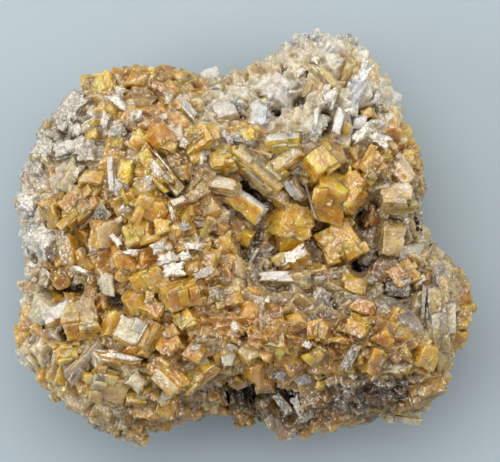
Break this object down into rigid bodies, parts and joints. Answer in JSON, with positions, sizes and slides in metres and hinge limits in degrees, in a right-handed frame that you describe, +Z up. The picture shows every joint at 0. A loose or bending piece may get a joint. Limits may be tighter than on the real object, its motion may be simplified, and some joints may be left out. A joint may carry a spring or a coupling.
{
  "type": "wulfenite specimen",
  "caption": "Loose mineral specimen: a broken piece of grey host rock whose face is covered by a druse of golden to orange tabular wulfenite crystals, with a wide crystal-lined hollow.",
  "frame": {"origin": "middle of the base of the bounding box, on the surface that the specimen rests on", "axes": "+Z up, out of the crystal face; +X along the specimen's longest side, to the right of a viewer who looks down on it; +Y towards the end with the pale peak"},
  "size_m": [0.0704, 0.0642, 0.0316],
  "materials": {
    "matrix_rock": "dull, rough, broken limestone and iron-stained vein rock",
    "wulfenite": "translucent golden to orange crystals with etched sugary faces and bright resinous glints",
    "vug_wulfenite": "larger translucent golden-yellow crystals with serrated striated edges",
    "notch_wulfenite": "brown-orange striated laths and grey-blue crystals in shade"
  },
  "bodies": {
    "root": {"host_rock": "matrix_rock", "crystal_crust": "wulfenite", "vug_crystals": "vug_wulfenite", "notch_crystals": "notch_wulfenite"}
  },
  "joints": []
}
